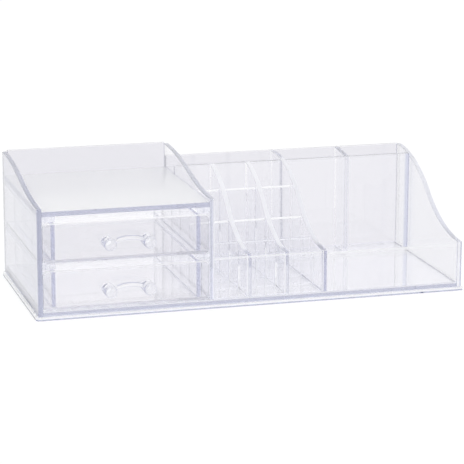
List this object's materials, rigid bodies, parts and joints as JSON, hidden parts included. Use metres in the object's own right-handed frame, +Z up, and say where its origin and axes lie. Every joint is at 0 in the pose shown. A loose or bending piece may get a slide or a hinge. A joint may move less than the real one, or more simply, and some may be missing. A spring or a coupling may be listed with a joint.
{
  "type": "makeup organizer",
  "caption": "Clear plastic makeup organizer: a drawer bay with a guarded tray on top, a stepped lipstick block, an open tray and tall rear slots.",
  "frame": {"origin": "centre of the underside of the base plate", "axes": "+X along the width towards the open tray, +Y towards the back, +Z up; the drawers open towards -Y"},
  "size_m": [0.3476, 0.16, 0.1046],
  "materials": {
    "case_sheet": "clear polished sheet with a faint blue-lavender tint at its edges",
    "drawer_sheet": "clear polished sheet, thinner than the case's",
    "handle_plastic": "clear moulded plastic"
  },
  "bodies": {
    "case": {"base_plate": "case_sheet", "floor_panel": "case_sheet", "left_side_panel": "case_sheet", "right_side_panel": "case_sheet", "bay_side_panel": "case_sheet", "bay_back_panel": "case_sheet", "main_back_panel": "case_sheet", "top_deck": "case_sheet", "lipstick_end_panel": "case_sheet", "lipstick_back_panel": "case_sheet", "tray_back_panel": "case_sheet", "rear_slot_partition": "case_sheet", "lipstick_column_partition_1": "case_sheet", "lipstick_column_partition_2": "case_sheet", "lipstick_front_wall": "case_sheet", "lipstick_row_wall_1": "case_sheet", "lipstick_row_wall_2": "case_sheet", "lipstick_row_wall_3": "case_sheet", "left_top_guide": "case_sheet", "left_runner_upper_drawer": "case_sheet", "right_top_guide": "case_sheet", "right_runner_upper_drawer": "case_sheet"},
    "lower_drawer": {"lower_drawer_front": "drawer_sheet", "lower_drawer_floor": "drawer_sheet", "lower_drawer_left_side": "drawer_sheet", "lower_drawer_right_side": "drawer_sheet", "lower_drawer_back": "drawer_sheet", "lower_drawer_handle": "handle_plastic"},
    "upper_drawer": {"upper_drawer_front": "drawer_sheet", "upper_drawer_floor": "drawer_sheet", "upper_drawer_left_side": "drawer_sheet", "upper_drawer_right_side": "drawer_sheet", "upper_drawer_back": "drawer_sheet", "upper_drawer_handle": "handle_plastic"}
  },
  "joints": [
    {"name": "lower_drawer_slide", "type": "slide", "parent": "case", "child": "lower_drawer", "axis": [0, -1, 0], "range_m": [0, 0.1]},
    {"name": "upper_drawer_slide", "type": "slide", "parent": "case", "child": "upper_drawer", "axis": [0, -1, 0], "range_m": [0, 0.1]}
  ]
}
